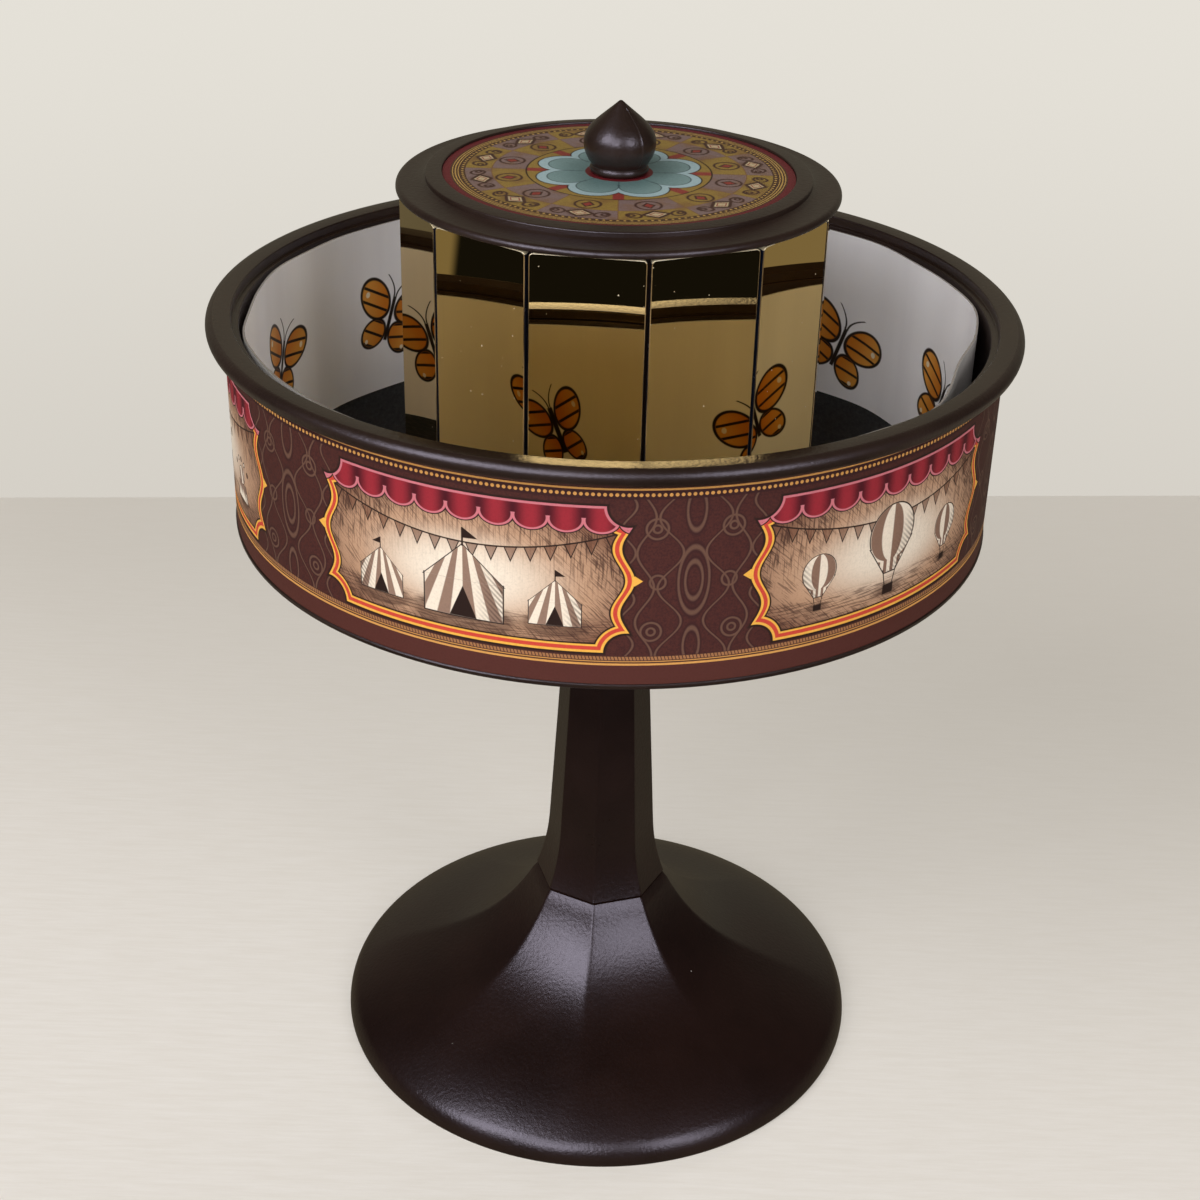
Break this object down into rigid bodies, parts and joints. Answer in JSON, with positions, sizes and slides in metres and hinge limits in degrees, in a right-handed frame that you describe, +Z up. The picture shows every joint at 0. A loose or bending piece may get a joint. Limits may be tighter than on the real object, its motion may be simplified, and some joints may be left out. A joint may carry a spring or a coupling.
{
  "type": "praxinoscope",
  "caption": "Open drum on a flared eight-sided stand that spins by its top knob, so that a ring of mirrors shows a loose picture strip as moving.",
  "frame": {"origin": "middle of the foot's underside, on the table", "axes": "+Z up the spindle, -Y towards the viewer of the picture, +X to that viewer's right"},
  "size_m": [0.18, 0.18, 0.2407],
  "materials": {
    "stand_plastic": "dark brown moulded plastic, satin with a fine spark-eroded grain",
    "drum_plastic": "dark brown moulded plastic, satin with a fine spark-eroded grain",
    "printed_band": "printed paper band, maroon with gold ornament and sepia plaques",
    "printed_label": "printed paper disc, ochre and mauve sectors round a teal rosette",
    "picture_card": "white satin card printed with a row of phases of one motion",
    "floor_black": "black, finely textured",
    "gold_mirror": "gold-tinted mirror with polished edges",
    "steel": "zinc-plated steel",
    "bronze": "sintered bronze",
    "nylon": "natural nylon"
  },
  "bodies": {
    "stand": {"foot": "stand_plastic", "column": "stand_plastic", "column_screw": "steel", "column_screw_washer": "steel", "spindle": "steel", "thrust_washer": "nylon", "spindle_clip": "steel"},
    "drum": {"drum_shell": "drum_plastic", "rim_ring": "drum_plastic", "outer_band": "printed_band", "floor_disc": "floor_black", "lower_bush": "bronze", "upper_bush": "bronze", "mirror_core": "drum_plastic", "core_screws": "steel", "lid": "drum_plastic", "lid_label": "printed_label", "knob": "drum_plastic", "knob_screw": "steel", "mirror_panel_01": "gold_mirror", "mirror_panel_02": "gold_mirror", "mirror_panel_03": "gold_mirror", "mirror_panel_04": "gold_mirror", "mirror_panel_05": "gold_mirror", "mirror_panel_06": "gold_mirror", "mirror_panel_07": "gold_mirror", "mirror_panel_08": "gold_mirror", "mirror_panel_09": "gold_mirror", "mirror_panel_10": "gold_mirror", "mirror_panel_11": "gold_mirror", "mirror_panel_12": "gold_mirror"},
    "strip": {"picture_strip": "picture_card"}
  },
  "joints": [
    {"name": "drum_spin", "type": "hinge", "parent": "stand", "child": "drum", "pos_m": [0, 0, 0.15], "axis": [0, 0, 1], "continuous": true},
    {"name": "strip_lift", "type": "slide", "parent": "drum", "child": "strip", "axis": [0, 0, 1], "range_m": [0, 0.055]}
  ]
}
